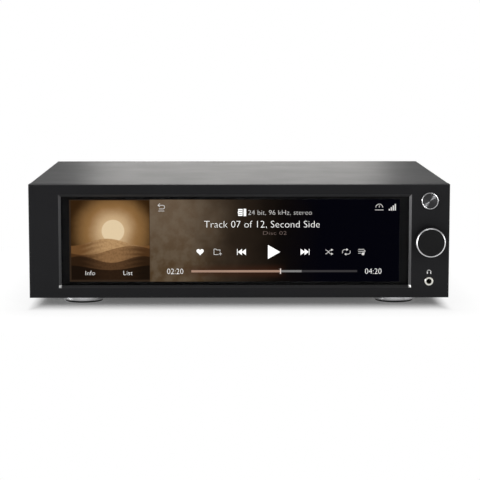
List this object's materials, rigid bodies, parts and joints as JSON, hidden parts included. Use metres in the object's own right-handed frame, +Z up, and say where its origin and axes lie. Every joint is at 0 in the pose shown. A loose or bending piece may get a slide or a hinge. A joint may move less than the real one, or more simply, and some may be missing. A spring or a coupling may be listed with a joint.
{
  "type": "network music streamer",
  "caption": "Desktop network music streamer: black aluminium case with a wide bevelled screen, volume knob, power button, headphone socket, round feet and rear sockets.",
  "frame": {"origin": "on the table under the middle of the whole outline, from the knob's face to the ends of the phono sockets", "axes": "+X to the right as seen from the front, +Y to the rear, +Z up"},
  "size_m": [0.278, 0.221, 0.0808],
  "materials": {
    "black_aluminium": "fine blasted and black anodised",
    "black_steel": "satin black powder coat",
    "black_screw": "black oxide",
    "silver_aluminium": "turned",
    "black_knob": "black anodised with a bright turned chamfer",
    "black_rubber": "matt",
    "bright_steel": "plated",
    "black_tape": "matt",
    "cover_glass": "clear, polished",
    "display_glass": "lit picture",
    "clear_plastic": "clear",
    "green_board": "solder resist",
    "amber_film": "film",
    "black_plastic": "moulded",
    "gold_plate": "gold plated",
    "brass": "turned",
    "wound_core": "taped winding",
    "capacitor_sleeve": "shrunk sleeve",
    "red_plastic": "moulded",
    "white_plastic": "moulded",
    "orange_plastic": "moulded",
    "nickel": "plated"
  },
  "bodies": {
    "case": {"front_panel": "black_aluminium", "top_cover": "black_aluminium", "base_plate": "black_steel", "rear_panel": "black_aluminium", "base_screws": "black_screw", "rear_screws": "black_screw", "foot_front_left": "silver_aluminium", "foot_front_right": "silver_aluminium", "foot_rear_left": "silver_aluminium", "foot_rear_right": "silver_aluminium", "foot_pads": "black_rubber", "foot_screws": "bright_steel", "display_gasket": "black_tape", "cover_glass": "cover_glass", "lcd_cell": "display_glass", "light_guide": "clear_plastic", "backlight_tray": "bright_steel", "display_bracket": "bright_steel", "bracket_screws": "bright_steel", "display_board": "green_board", "display_ribbon": "amber_film", "encoder_body": "black_plastic", "encoder_nut": "bright_steel", "button_guide": "black_plastic", "tact_switch": "black_plastic", "headphone_sleeve": "gold_plate", "headphone_body": "black_plastic", "control_board": "green_board", "main_board": "green_board", "audio_board": "green_board", "supply_board": "green_board", "standoffs": "brass", "board_screws": "bright_steel", "processor": "black_plastic", "heat_sink": "black_aluminium", "audio_shield": "bright_steel", "transformer": "wound_core", "transformer_clamp": "bright_steel", "capacitors": "capacitor_sleeve", "lan_port": "bright_steel", "usb_port": "bright_steel", "video_port": "bright_steel", "optical_port": "black_plastic", "line_out_jacks": "gold_plate", "line_in_jacks": "gold_plate", "coax_jack": "gold_plate", "red_insulators": "red_plastic", "white_insulators": "white_plastic", "coax_insulator": "orange_plastic", "mains_inlet": "black_plastic", "inlet_pins": "nickel", "rocker_housing": "black_plastic"},
    "power_button_body": {"power_button": "black_knob", "switch_plunger": "black_plastic"},
    "knob_body": {"volume_knob": "black_knob", "knob_grub_screw": "bright_steel", "encoder_shaft": "silver_aluminium"},
    "rocker_body": {"rocker": "black_plastic"},
    "shutter_body": {"optical_shutter": "black_plastic"}
  },
  "joints": [
    {"name": "power_press", "type": "slide", "parent": "case", "child": "power_button_body", "axis": [0, 1, 0], "range_m": [0, 0.0008], "stiffness_N_per_m": 1500},
    {"name": "volume_turn", "type": "hinge", "parent": "case", "child": "knob_body", "pos_m": [0.1258, -0.1005, 0.0431], "axis": [0, 1, 0], "continuous": true},
    {"name": "mains_rocker", "type": "hinge", "parent": "case", "child": "rocker_body", "pos_m": [-0.064, 0.0999, 0.0394], "axis": [-1, 0, 0], "range_deg": [0, 20]},
    {"name": "shutter_swing", "type": "hinge", "parent": "case", "child": "shutter_body", "pos_m": [0.02508, 0.0996, 0.02695], "axis": [-1, 0, 0], "range_deg": [0, 80], "stiffness_Nm_per_rad": 0.0002}
  ]
}
